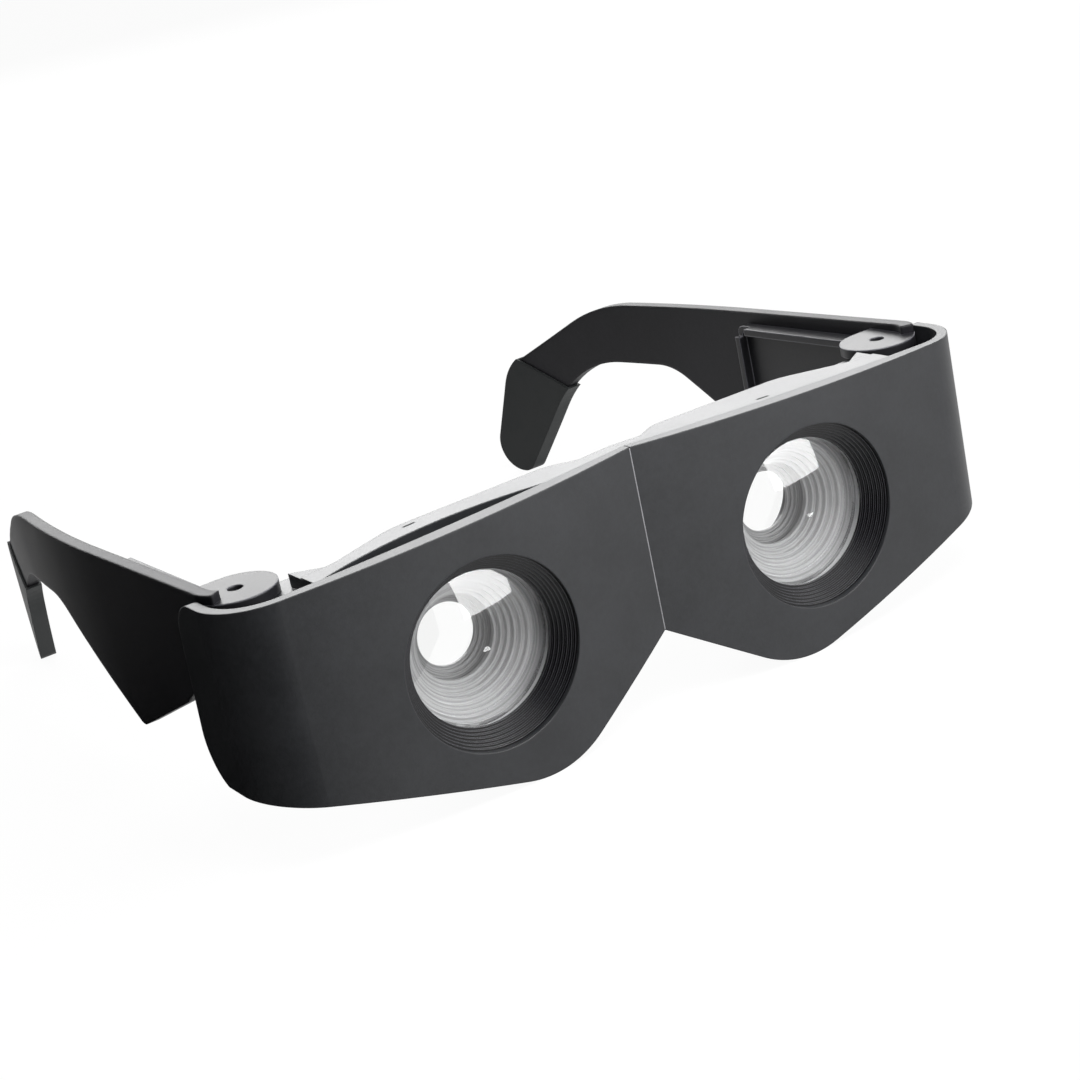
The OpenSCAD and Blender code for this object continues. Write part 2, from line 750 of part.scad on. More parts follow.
// Knurled ring that turns on the barrel; its inner relief takes the cell's two keys
module focus_ring(side) {
  bore = barrel_r + 0.15;
  color(ring_black) placed() on_side(side) on_lens_axis() difference() {
    translate([0, 0, ring_front]) linear_extrude(ring_end - ring_front) difference() {
      circle(ring_r, $fn = big_fn);
      for (i = [0 : grip_grooves - 1]) rotate(i * 360 / grip_grooves)
        translate([ring_r, 0]) circle(grip_groove_r, $fn = 16);
    }
    translate([0, 0, ring_front - 1]) cylinder(r = bore, h = ring_lip_front - ring_front + 1, $fn = big_fn);
    translate([0, 0, bead_front - free_gap])
      cylinder(r = barrel_r + bead_h + free_gap, h = bead_len + 2 * free_gap, $fn = big_fn);
    translate([0, 0, key_front - focus_travel - free_gap])
      cylinder(r = key_reach + free_gap, h = ring_lip_front - key_front + focus_travel + free_gap, $fn = big_fn);
    translate([0, 0, ring_front]) cylinder(r = cell_r + free_gap, h = ring_end, $fn = big_fn);
  }
}

// Sliding cell: a small funnel in front, the seat of the eyepiece lens, and two keys
module eyepiece_cell(side) {
  funnel_r = baffle_r - 0.6;
  funnel_step = (funnel_r - stop_r) / 2;
  funnel_d = (cell_seat - cell_front) / 3;
  color(ring_black) placed() on_side(side) on_lens_axis() {
    rotate_extrude($fn = big_fn) polygon([
      [cell_r, cell_front],
      [cell_r, cell_end],
      [eyepiece_r + 0.7, cell_end],
      [eyepiece_r + fit_gap, cell_end - 0.7],
      [eyepiece_r + fit_gap, cell_seat],
      [stop_r, cell_seat],
      [stop_r, cell_seat - funnel_d],
      [stop_r + funnel_step, cell_seat - funnel_d],
      [stop_r + funnel_step, cell_front + funnel_d],
      [funnel_r, cell_front + funnel_d],
      [funnel_r, cell_front]
    ]);
    for (turn = [0, 180]) rotate(turn)
      translate([cell_r - 0.5, -key_w / 2, key_front]) cube([key_reach - cell_r + 0.5, key_w, key_t]);
  }
}

// Concave eyepiece lens, hollow towards the eye
module eyepiece_lens(side) {
  hollow_r = eyepiece_r - retainer_wall;
  hollow_h = eyepiece_curve - sqrt(pow(eyepiece_curve, 2) - pow(hollow_r, 2));
  color(clear_glass, 0.5) placed() on_side(side) on_lens_axis() difference() {
    translate([0, 0, cell_seat]) cylinder(r = eyepiece_r, h = eyepiece_edge, $fn = big_fn);
    translate([0, 0, retainer_front - hollow_h + eyepiece_curve]) sphere(eyepiece_curve, $fn = big_fn);
  }
}

// Ring pressed in behind the eyepiece lens
module eyepiece_retainer(side) {
  color(steel) placed() on_side(side) on_lens_axis() translate([0, 0, retainer_front]) difference() {
    cylinder(r = eyepiece_r, h = retainer_len, $fn = big_fn);
    translate([0, 0, -1]) cylinder(r = eyepiece_r - retainer_wall, h = retainer_len + 2, $fn = big_fn);
  }
}

// A wing's own frame: x runs out along the wing and y towards the nose
module on_wing() {
  translate([wing_root[0], wing_root[1], 0]) rotate([0, 0, 90 - wing_spread]) children();
}

// Saddle on the back of the housing with two wings for the pads
module nose_bridge() {
  color(ring_black) placed() difference() {
    union() {
      translate([-bridge_half_w, housing_nose_d, -bridge_h / 2])
        cube([2 * bridge_half_w, bridge_d, bridge_h]);
      for (side = [-1, 1]) on_side(side) on_wing()
        translate([0, -wing_t / 2, -bridge_h / 2]) cube([wing_len, wing_t, bridge_h]);
    }
    bar([0, bridge_screw_z], screw_r + fit_gap, 0, past_rear);
    bar([0, bridge_screw_z], screw_head_r + free_gap, bridge_screw_seat, past_rear);
  }
}

// Soft domed pad on the inner face of each wing
module nose_pad(side) {
  dome = (pad_r * pad_r + pad_crown * pad_crown) / (2 * pad_crown);
  color(pad_grey) placed() on_side(side) on_wing()
    translate([wing_len + pad_overhang - pad_r, wing_t / 2, pad_z]) rotate([-90, 0, 0])
      intersection() {
        cylinder(r = pad_r, h = pad_crown + 1, $fn = small_fn * 2);
        translate([0, 0, pad_crown - dome]) sphere(dome, $fn = small_fn * 2);
      }
}

// Plan of an arm, grown by a margin all round: curved nose, straight root and inward bow
module arm_plan(margin) {
  out = arm_out_x + margin;
  inner = arm_in_x - margin;
  bow_x = arm_out_x - bow_r;
  intersection() {
    translate([hinge_x, hinge_y]) difference() {
      circle(out - hinge_x, $fn = small_fn * 2);
      circle(inner - hinge_x, $fn = small_fn * 2);
    }
    translate([hinge_x, hinge_y]) rotate(-nose_wrap) square(20);
    translate([hinge_x, hinge_y - 20]) square(20);
  }
  translate([inner, hinge_y]) square([out - inner, bow_start - hinge_y]);
  intersection() {
    translate([bow_x, bow_start]) difference() {
      circle(bow_r + margin, $fn = 720);
      circle(bow_r - arm_t - margin, $fn = 720);
    }
    translate([0, bow_start]) square([far, far]);
  }
}

// An arm without its screw holes, grown by a margin all round
module arm_solid(margin) {
  intersection() {
    full_height() arm_plan(margin);
    side_view(0, far) polygon(rounded(inset(arm_outline, -margin)));
  }
}

// Cuts or shanks of the bracket's screws, from the arm's face outwards
module bracket_shanks(r, x0, x1) {
  for (at = bracket_screws)
    translate([x0, at[0], at[1]]) rotate([0, 90, 0]) cylinder(r = r, h = x1 - x0, $fn = small_fn);
}

// Wide curved arm with a deep root, an arch over the ear and a hook behind it
module arm(side) {
  color(arm_black) placed() on_side(side) difference() {
    arm_solid(0);
    bracket_shanks(screw_r + thread_gap, arm_in_x - 1, arm_out_x - 0.6);
  }
}

// Plan of one lug: round the pin and back along the arm
module lug_plan() {
  difference() {
    translate([hinge_x, hinge_y]) circle(lug_r, $fn = small_fn * 2);
    translate([arm_in_x, hinge_y]) square(lug_r);
  }
  translate([hinge_x, hinge_y]) square([arm_in_x - hinge_x, lug_r]);
}

// Framed panel inside the arm's root, with the two lugs that take the hinge pin
module hinge_bracket(side) {
  panel_in_x = arm_in_x - panel_t;
  color(arm_black) placed() on_side(side) difference() {
    union() {
      side_view(panel_in_x, arm_in_x) polygon(rounded(bracket_outline));
      side_view(arm_in_x - rim_d, arm_in_x) difference() {
        polygon(rounded(bracket_outline));
        polygon(rounded(inset(bracket_outline, rim_t)));
      }
      intersection() {
        side_view(arm_in_x - ledge_d, arm_in_x) difference() {
          polygon(rounded(bracket_outline));
          polygon(rounded(inset(bracket_outline, rim_t)));
        }
        translate([0, hinge_y, bracket_top - 3.5]) cube([far, bracket_end - hinge_y - ledge_gap, far]);
      }
      translate([arm_in_x - rear_rib_d, bracket_end - rim_t, bracket_heel_z + 1.5])
        cube([rear_rib_d, rim_t, bracket_top - bracket_heel_z - 4.5]);
      translate([arm_in_x - rim_d, bracket_front, bracket_low - lug_t])
        cube([rim_d, lug_t + free_gap, bracket_top - bracket_low + 2 * lug_t]);
      for (z = [bracket_top, bracket_low - lug_t]) translate([0, 0, z])
        linear_extrude(lug_t) lug_plan();
    }
    intersection() {
      full_height() arm_plan(fit_gap);
      translate([0, 0, -far / 2]) cube([far, hinge_y, far]);
    }
    translate([hinge_x, hinge_y, -far / 2]) cylinder(r = pin_r + thread_gap, h = far, $fn = small_fn);
    bracket_shanks(screw_r + thread_gap, panel_in_x - 1, arm_out_x);
  }
}

// Pin through the two lugs and the knuckle between them
module hinge_pin(side) {
  color(steel) placed() on_side(side)
    translate([hinge_x, hinge_y, pin_low]) cylinder(r = pin_r, h = pin_top - pin_low, $fn = small_fn);
}

// Two screws that hold the bracket to the arm
module bracket_screws(side) {
  panel_in_x = arm_in_x - panel_t;
  color(steel) placed() on_side(side) {
    bracket_shanks(screw_r, panel_in_x - 0.01, arm_out_x - 0.7);
    bracket_shanks(screw_head_r, panel_in_x - 1, panel_in_x);
  }
}

// Soft sleeve over the end of the arm
module tip_sleeve(side) {
  color(sleeve_black) placed() on_side(side) difference() {
    intersection() {
      arm_solid(sleeve_wall);
      side_view(0, far)
        translate([arm_reach - sleeve_mouth_back, sleeve_mouth_z]) rotate(sleeve_slant)
          translate([-hook_len, -far]) square(far);
    }
    arm_solid(fit_gap / 2);
  }
}

front_cover(-1);  // left_front_cover
front_cover(1);  // right_front_cover
rear_housing();
housing_screws();
hood_ring(-1);  // left_hood_ring
hood_ring(1);  // right_hood_ring
objective_lens(-1);  // left_objective_lens
objective_lens(1);  // right_objective_lens
lens_barrel(-1);  // left_lens_barrel
lens_barrel(1);  // right_lens_barrel
focus_ring(-1);  // left_focus_ring
focus_ring(1);  // right_focus_ring
eyepiece_cell(-1);  // left_eyepiece_cell
eyepiece_cell(1);  // right_eyepiece_cell
eyepiece_lens(-1);  // left_eyepiece_lens
eyepiece_lens(1);  // right_eyepiece_lens
eyepiece_retainer(-1);  // left_eyepiece_retainer
eyepiece_retainer(1);  // right_eyepiece_retainer
nose_bridge();
nose_pad(-1);  // left_nose_pad
nose_pad(1);  // right_nose_pad
arm(-1);  // left_arm
arm(1);  // right_arm
hinge_bracket(-1);  // left_hinge_bracket
hinge_bracket(1);  // right_hinge_bracket
hinge_pin(-1);  // left_hinge_pin
hinge_pin(1);  // right_hinge_pin
bracket_screws(-1);  // left_bracket_screws
bracket_screws(1);  // right_bracket_screws
tip_sleeve(-1);  // left_tip_sleeve
tip_sleeve(1);  // right_tip_sleeve
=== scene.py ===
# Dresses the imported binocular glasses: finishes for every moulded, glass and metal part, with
# painted highlights on the edges of the hood's ribs and of the hinge brackets and painted shade in
# the housing's latch slots, screws with their driver recesses, the bead along the seam that is
# painted pale as a highlight, the deeper relief behind the left cover, and the studio round them.
import json
import math

import bmesh
import bpy
from mathutils import Matrix, Vector


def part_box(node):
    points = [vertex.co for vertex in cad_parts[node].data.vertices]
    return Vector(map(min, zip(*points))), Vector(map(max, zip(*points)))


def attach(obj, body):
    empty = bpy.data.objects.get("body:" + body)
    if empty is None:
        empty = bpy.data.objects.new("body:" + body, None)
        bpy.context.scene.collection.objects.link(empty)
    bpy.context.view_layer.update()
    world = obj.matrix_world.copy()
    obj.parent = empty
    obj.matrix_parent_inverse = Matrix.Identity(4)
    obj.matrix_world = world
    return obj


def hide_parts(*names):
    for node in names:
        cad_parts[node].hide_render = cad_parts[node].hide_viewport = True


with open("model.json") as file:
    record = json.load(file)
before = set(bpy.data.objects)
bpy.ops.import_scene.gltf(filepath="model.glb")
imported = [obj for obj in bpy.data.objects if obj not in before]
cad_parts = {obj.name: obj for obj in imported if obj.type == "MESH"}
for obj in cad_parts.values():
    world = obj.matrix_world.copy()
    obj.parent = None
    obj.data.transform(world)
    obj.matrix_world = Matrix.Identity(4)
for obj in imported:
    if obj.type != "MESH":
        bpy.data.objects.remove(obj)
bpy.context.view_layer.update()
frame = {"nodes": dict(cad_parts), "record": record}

MM = 0.001
SIDES = ("left", "right")
WHITE = (1.0, 1.0, 1.0, 1.0)

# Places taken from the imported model
FRONT_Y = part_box("left_front_cover")[0][1]
TOP_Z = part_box("left_front_cover")[1][2]
MOUTH = next(m for m in frame["record"]["mounts"] if m["name"] == "right_hood_mouth")
EYE_X, _, LENS_HEIGHT = MOUTH["pos_m"]

# Sizes that the part's source gives too
SEAM_DEPTH = 2.65 * MM
NOTCH_DROP = 8.8 * MM
COVER_MIDDLE_WALL = 3.2 * MM
RELIEF_X = -35.0 * MM
RELIEF_HALF_LENGTH = 25.0 * MM
RELIEF_DEPTH = 3.0 * MM
RELIEF_LOW = 5.4 * MM
SHANK_R = 0.9 * MM
HEAD_R = 1.9 * MM
DEEP_SCREW_HEAD_H = 1.2 * MM
WIDE_SCREW_HEAD_H = 1.0 * MM

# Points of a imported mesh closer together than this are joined
WELD_GAP = 0.001 * MM

# The Mix node's sockets that carry colours
FIRST_COLOR, SECOND_COLOR, MIXED_COLOR = 6, 7, 2


class Value:
    """One output of a shader node. Arithmetic on it adds Math nodes."""

    def __init__(self, shading, socket):
        self.shading = shading
        self.socket = socket

    def maths(self, operation, *numbers):
        return self.shading.node("Math", {"operation": operation}, dict(enumerate(numbers)))

    def __add__(self, other):
        return self.maths("ADD", self, other)

    def __sub__(self, other):
        return self.maths("SUBTRACT", self, other)

    def __rsub__(self, other):
        return self.maths("SUBTRACT", other, self)

    def __mul__(self, other):
        return self.maths("MULTIPLY", self, other)

    def __truediv__(self, other):
        return self.maths("DIVIDE", self, other)

    def __pow__(self, other):
        return self.maths("POWER", self, other)

    def __abs__(self):
        return self.maths("ABSOLUTE", self)

    __radd__ = __add__
    __rmul__ = __mul__

    def sine(self):
        return self.maths("SINE", self)

    def at_most(self, other):
        return self.maths("MINIMUM", self, other)

    def at_least(self, other):
        return self.maths("MAXIMUM", self, other)

    def clamped(self):
        return self.at_least(0.0).at_most(1.0)

    def between(self, low, high):
        """0 up to low, 1 from high on, and a smooth step between them."""
        inputs = {"Value": self, "From Min": low, "From Max": high}
        return self.shading.node("MapRange", {"interpolation_type": "SMOOTHSTEP"}, inputs)


class Shading:
    """The nodes of one material or world."""

    def __init__(self, owner):
        owner.use_nodes = True
        self.tree = owner.node_tree

    def node(self, kind, settings=None, inputs=None, output=0):
        made = self.tree.nodes.new("ShaderNode" + kind)
        for key, value in (settings or {}).items():
            setattr(made, key, value)
        for key, value in (inputs or {}).items():
            self.connect(made.inputs[key], value)
        return Value(self, made.outputs[output])

    def connect(self, socket, value):
        if isinstance(value, Value):
            self.tree.links.new(value.socket, socket)
        else:
            socket.default_value = value

    def show(self, output, shader):
        self.connect(self.tree.nodes[output].inputs["Surface"], shader)

    def seen(self):
        """1 for what the camera sees, also by gloss and through glass; 0 for what gives light."""
        rays = ("Is Camera Ray", "Is Glossy Ray", "Is Transmission Ray")
        camera, glossy, through = (self.node("LightPath", output=ray) for ray in rays)
        return camera.at_least(glossy).at_least(through)


class Finish(Shading):
    """A material being made: the Principled shader, and the patterns that feed it."""

    def __init__(self, name, color, roughness, **fixed):
        self.material = bpy.data.materials.new(name)
        super().__init__(self.material)
        self.shader = self.tree.nodes["Principled BSDF"]
        self.color = (*color, 1.0)
        self.feed("Base Color", self.color)
        self.feed("Roughness", roughness)
        for setting, value in fixed.items():
            self.feed(setting.replace("_", " ").title().replace("Ior", "IOR"), value)

    def feed(self, name, value):
        self.connect(self.shader.inputs[name], value)

    def spot(self, axis):
        """One of the object's own coordinates, in metres."""
        place = self.node("TexCoord", output="Object")
        return self.node("SeparateXYZ", None, {"Vector": place}, output=axis)

    def noise(self, size, detail=2.0, roughness=0.5, stretch=(1.0, 1.0, 1.0)):
        """Soft random grey whose patches are about size across, in metres."""
        spot = self.node("TexCoord", output="Object")
        place = self.node("Mapping", None, {"Vector": spot, "Scale": stretch})
        inputs = {"Vector": place, "Scale": 1.0 / size, "Detail": detail, "Roughness": roughness}
        return self.node("TexNoise", None, inputs)

    def turned_rings(self, pitch):
        """Rings round each lens axis, one every pitch."""
        across = abs(self.spot("X")) - EYE_X
        rise = self.spot("Z") - LENS_HEIGHT
        radius = (across * across + rise * rise) ** 0.5
        return (radius * (2.0 * math.pi / pitch)).sine() * 0.5 + 0.5

    def dash(self, middle, half_width, half_length, above):
        """1 inside a small rectangle on top of a piece, seen from above, and 0 round it."""
        soft_from, rise = 0.7, 0.2 * MM
        x = abs(self.spot("X") - middle[0]) / half_width
        y = abs(self.spot("Y") - middle[1]) / half_length
        inside = 1.0 - x.at_least(y).between(soft_from, 1.0)
        return inside * self.spot("Z").between(above - rise, above)

    def blend(self, share, first, second):
        inputs = {"Factor": share, FIRST_COLOR: first, SECOND_COLOR: second}
        return self.node("Mix", {"data_type": "RGBA"}, inputs, output=MIXED_COLOR)

    def edges(self, radius):
        """(rounded normal, share of edge) for edges rounded to that radius."""
        rounded = self.node("Bevel", {"samples": 6}, {"Radius": radius})
        flat = self.node("NewGeometry", output="Normal")
        dot = {"operation": "DOT_PRODUCT"}
        likeness = self.node("VectorMath", dot, {0: rounded, 1: flat}, output="Value")
        return rounded, (1.0 - likeness).between(0.01, 0.25)

    def bump(self, height, depth, normal):
        """Relief of that depth on top of a rounded normal."""
        inputs = {"Height": height, "Distance": depth, "Strength": 1.0, "Normal": normal}
        self.feed("Normal", self.node("Bump", None, inputs))


def shade(color, factor):
    """A colour made darker or lighter, with the full alpha that sockets want."""
    return (*[min(1.0, part * factor) for part in color], 1.0)


def moulded(name, color, roughness, edge=0.3 * MM, edge_wear_and_highlight=1.6, marks=(), **fixed):
    """Moulded plastic: fine spark-eroded grain, slow changes of tone, and rounded edges that go
    towards edge_wear_and_highlight times its colour: worn edges where that factor is small, a
    painted highlight where it is large.

    marks are small latch slots on top of the piece, painted as dark rectangles of shade, as
    (middle, half width, half length, height).
    """
    grain_size, grain_depth = 0.35 * MM, 0.012 * MM
    cloud_size, speckle_size = 14 * MM, 0.9 * MM
    dark_tone, pale_tone, slot_shade_tone = 0.8, 1.22, 0.1
    wear_and_highlight_share, slot_dullness = 0.6, 0.6
    made = Finish(name, color, roughness, **fixed)
    rounded, edge_share = made.edges(edge)
    grain = made.noise(grain_size, detail=3.0, roughness=0.65)
    clouds = made.noise(cloud_size, detail=4.0, roughness=0.6)
    speckle = made.noise(speckle_size, detail=2.0, roughness=0.7)
    patches = (clouds * 0.6 + speckle * 0.4).between(0.3, 0.7)
    tone = made.blend(patches, shade(color, dark_tone), shade(color, pale_tone))
    # Rounded edges go paler: worn edges on most mouldings, and a painted highlight on the hood's
    # ribs and the hinge brackets, whose factors are large.
    tone = made.blend(edge_share * wear_and_highlight_share, tone, shade(color, edge_wear_and_highlight))
    dullness = roughness - 0.06 + clouds * 0.08 + grain * 0.06 - edge_share * 0.06
    # Painted shade: each latch slot is a dark rectangle painted on the top.
    for middle, half_width, half_length, above in marks:
        inside = made.dash(middle, half_width, half_length, above)
        tone = made.blend(inside, tone, shade(color, slot_shade_tone))
        dullness = dullness + inside * slot_dullness
    made.feed("Base Color", tone)
    made.feed("Roughness", dullness.clamped())
    made.bump(grain, grain_depth, rounded)
    return made.material


def rubber(name, color, **fixed):
    """Soft rubber: a dull, faintly dusty skin with very fine grain."""
    edge, skin_size, skin_depth, dust_size = 0.35 * MM, 0.25 * MM, 0.01 * MM, 6 * MM
    dusty_tone = 1.6
    made = Finish(name, color, 0.6, sheen_weight=0.08, sheen_roughness=0.5, **fixed)
    rounded, edge_share = made.edges(edge)
    skin = made.noise(skin_size, detail=2.0, roughness=0.6)
    dust = made.noise(dust_size, detail=5.0, roughness=0.7).between(0.45, 0.75)
    dusty = dust * 0.5 + edge_share * 0.3
    made.feed("Base Color", made.blend(dusty, made.color, shade(color, dusty_tone)))
    made.feed("Roughness", 0.54 + dust * 0.12 - edge_share * 0.08)
    made.bump(skin, skin_depth, rounded)
    return made.material


def brushed_steel(name, color=(0.56, 0.56, 0.57)):
    """Turned steel of the pins, screws and retaining rings."""
    edge, line_size, line_depth, stain_size = 0.15 * MM, 0.12 * MM, 0.004 * MM, 1.5 * MM
    dark_tone, pale_tone = 0.88, 1.12
    made = Finish(name, color, 0.3, metallic=1.0)
    lines = made.noise(line_size, detail=2.0, stretch=(1.0, 1.0, 6.0))
    stains = made.noise(stain_size, detail=3.0)
    made.feed("Base Color", made.blend(stains, shade(color, dark_tone), shade(color, pale_tone)))
    made.feed("Roughness", 0.24 + lines * 0.14)
    rounded, _ = made.edges(edge)
    made.bump(lines, line_depth, rounded)
    return made.material


def coated_glass(name, tint, gain):
    """Clear lens: what lies behind shows through, under gain times the gloss of bare glass."""
    smooth, haze_size, index = 0.03, 5 * MM, 1.5
    made = Finish(name, tint, smooth)
    haze = made.noise(haze_size, detail=3.0).between(0.4, 0.8)
    clear = made.node("BsdfTransparent", None, {"Color": (*tint, 1.0)})
    dullness = smooth + haze * 0.04
    gloss = made.node("BsdfGlossy", None, {"Roughness": dullness, "Color": WHITE})
    front = 1.0 - made.node("NewGeometry", output="Backfacing")
    lights = 1.0 - made.node("LightPath", output="Is Shadow Ray")
    share = made.node("Fresnel", None, {"IOR": index}) * gain + haze * 0.01
    shown = (share * front * lights).clamped()
    made.show("Material Output", made.node("MixShader", None, {0: shown, 1: clear, 2: gloss}))
    return made.material


def turned_plastic(name, color, pitch):
    """Satin grey moulding round the light path, with fine turned rings."""
    edge, ring_depth, cloud_size = 0.14 * MM, 0.03 * MM, 5 * MM
    dark_tone, pale_tone, edge_tone = 0.72, 1.2, 1.5
    made = Finish(name, color, 0.36)
    rounded, edge_share = made.edges(edge)
    rings = made.turned_rings(pitch)
    clouds = made.noise(cloud_size, detail=3.0)
    patches = rings * 0.7 + clouds * 0.3
    tone = made.blend(patches, shade(color, dark_tone), shade(color, pale_tone))
    made.feed("Base Color", made.blend(edge_share, tone, shade(color, edge_tone)))
    made.feed("Roughness", 0.26 + clouds * 0.16)
    made.bump(rings, ring_depth, rounded)
    return made.material


# The latch slots' painted shade shows above this height, which lies just under the housing's top
SLOT_Z = TOP_Z - 3.0 * MM
LATCH_SLOT_SHADE = (
    ((-35.6 * MM, FRONT_Y + 12.1 * MM), 1.2 * MM, 0.35 * MM, SLOT_Z),
    ((29.4 * MM, FRONT_Y + 6.6 * MM), 1.4 * MM, 0.35 * MM, SLOT_Z),
)

steel = brushed_steel("screw steel")
dark_steel = brushed_steel("blackened screw steel", (0.06, 0.06, 0.064))
FINISHES = {
    "front_cover": moulded(
        "satin black front", (0.012, 0.0126, 0.0142), 0.42, specular_ior_level=0.34
    ),
    "rear_housing": moulded("black housing", (0.014, 0.015, 0.017), 0.38, marks=LATCH_SLOT_SHADE),
    # The edges of the hood's ribs are painted pale, as highlights.
    "hood_ring": moulded(
        "matt black hood", (0.003, 0.003, 0.0035), 0.24,
        edge=0.14 * MM, edge_wear_and_highlight=30.0, specular_ior_level=0.4,
    ),
    "objective_lens": coated_glass("objective glass", (0.99, 0.992, 0.99), gain=1.7),
    "eyepiece_lens": coated_glass("eyepiece glass", (0.99, 0.99, 0.99), gain=1.2),
    "lens_barrel": turned_plastic("light grey barrel", (0.31, 0.31, 0.316), pitch=0.55 * MM),
    "eyepiece_cell": turned_plastic("grey eyepiece cell", (0.22, 0.22, 0.225), pitch=0.4 * MM),
    "eyepiece_retainer": dark_steel,
    "focus_ring": rubber("grip of the focus rings", (0.02, 0.02, 0.022)),
    "nose_bridge": moulded("black nose bridge", (0.02, 0.02, 0.022), 0.45),
    "nose_pad": rubber("soft nose pads", (0.05, 0.05, 0.054)),
    "arm": moulded(
        "satin black arms", (0.009, 0.0088, 0.0105), 0.46,
        edge=0.8 * MM, edge_wear_and_highlight=1.1, specular_ior_level=0.17,
    ),
    # The edges of the brackets' rib and ledge are painted pale, as highlights.
    "hinge_bracket": moulded(
        "black hinge brackets", (0.009, 0.009, 0.0105), 0.4,
        edge=0.5 * MM, edge_wear_and_highlight=16.0, specular_ior_level=0.3,
    ),
    "tip_sleeve": rubber("soft arm sleeves", (0.006, 0.0075, 0.0078), specular_ior_level=0.2),
    "housing_screws": steel,
    "hinge_pin": dark_steel,
    "bracket_screws": dark_steel,
}
# The seam bead is painted pale, as a highlight along the seam.
SEAM_HIGHLIGHT_FINISH = moulded("pale seam bead", (0.13, 0.13, 0.137), 0.5, edge=0.05 * MM)

for node_name, node in frame["nodes"].items():
    kind = node_name.removeprefix("left_").removeprefix("right_")
    node.data.materials.clear()
    node.data.materials.append(FINISHES[kind])


def add_object(name, form, finish):
    """Makes a finished object of a bmesh, and frees the bmesh."""
    mesh = bpy.data.meshes.new(name)
    form.to_mesh(mesh)
    form.free()
    mesh.materials.append(finish)
    made = bpy.data.objects.new(name, mesh)
    bpy.context.collection.objects.link(made)
    return made


def add_piece(name, form, finish, body):
    """Makes a finished piece of a bmesh whose points are already in their place."""
    piece = add_object(name, form, finish)
    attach(piece, body)
    return piece


def welded_copy(node_name):
    """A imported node's mesh with its loose triangles joined."""
    form = bmesh.new()
    form.from_mesh(frame["nodes"][node_name].data)
    bmesh.ops.remove_doubles(form, verts=form.verts, dist=WELD_GAP)
    return form


def solid_boxes(node_name):
    """The lowest and highest corner of each separate solid of a node."""
    form = welded_copy(node_name)
    unseen = set(form.verts)
    boxes = []
    for start in form.verts:
        if start not in unseen:
            continue
        unseen.remove(start)
        group = [start]
        for vert in group:
            for edge in vert.link_edges:
                other = edge.other_vert(vert)
                if other in unseen:
                    unseen.remove(other)
                    group.append(other)
        low, high = (
            Vector([pick(vert.co[axis] for vert in group) for axis in range(3)])
            for pick in (min, max)
        )
        boxes.append((low, high))
    form.free()
    return boxes


def move_rim(form, rim, radius, height):
    """Draws a round rim out to a new radius and height, and gives the new rim."""
    drawn = bmesh.ops.extrude_edge_only(form, edges=rim)["geom"]
    for vert in (part for part in drawn if isinstance(part, bmesh.types.BMVert)):
        across = Vector((vert.co.x, vert.co.y, 0.0)).normalized() * radius
        vert.co = (across.x, across.y, height)
    return [part for part in drawn if isinstance(part, bmesh.types.BMEdge) and part.is_boundary]


def pan_head_screw(head_h, length):
    """A screw with a cross recess in a domed head: its crown is at the origin, its shank below."""
    cells = 5
    crown_r = HEAD_R * 0.72
    recess_depth, recess_slope = 0.55 * MM, 0.06 * MM
    form = bmesh.new()
    bmesh.ops.create_grid(form, x_segments=cells, y_segments=cells, size=1.0)
    for vert in form.verts:
        on_rim = max(abs(vert.co.x), abs(vert.co.y)) > 0.9
        if on_rim:
            vert.co = vert.co.normalized()
        vert.co *= crown_r

    def in_cross(face):
        near, far = sorted(abs(c) for c in face.calc_center_median()[:2])
        return near < 0.1 * crown_r and far < 0.5 * crown_r

    cross = [face for face in form.faces if in_cross(face)]
    bmesh.ops.inset_region(
        form, faces=cross, thickness=recess_slope, depth=-recess_depth, use_even_offset=True
    )
    rim = [edge for edge in form.edges if edge.is_boundary]
    for radius, height in (
        (HEAD_R * 0.92, -0.2 * head_h),
        (HEAD_R, -0.5 * head_h),
        (HEAD_R, -head_h),
        (SHANK_R, -head_h),
        (SHANK_R, -length),
    ):
        rim = move_rim(form, rim, radius, height)
    bmesh.ops.contextual_create(form, geom=rim)
    return form


def dress_screws(node_name, body, finish):
    """Stands a screw with a driver recess in the place of each plain one of a node.

    One that is deeper than wide has its crown at the back, and any other at its inner end.
    """
    whole = bmesh.new()
    for low, high in solid_boxes(node_name):
        size = high - low
        middle = (low + high) / 2
        if size.y > size.x:
            crown = Vector((middle.x, high.y, middle.z))
            away = Vector((0.0, 1.0, 0.0))
            head_h = DEEP_SCREW_HEAD_H
        else:
            inner_x = min(low.x, high.x, key=abs)
            crown = Vector((inner_x, middle.y, middle.z))
            away = Vector((-math.copysign(1.0, inner_x), 0.0, 0.0))
            head_h = WIDE_SCREW_HEAD_H
        screw = pan_head_screw(head_h, max(size.x, size.y))
        turned = away.to_track_quat("Z", "Y").to_matrix().to_4x4()
        placed = Matrix.Translation(crown) @ turned
        bmesh.ops.transform(screw, matrix=placed, verts=screw.verts)
        mesh = bpy.data.meshes.new("screw")
        screw.to_mesh(mesh)
        screw.free()
        whole.from_mesh(mesh)
        bpy.data.meshes.remove(mesh)
    bmesh.ops.recalc_face_normals(whole, faces=whole.faces)
    piece = add_piece(node_name + "_recessed", whole, finish, body)
    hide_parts(node_name)


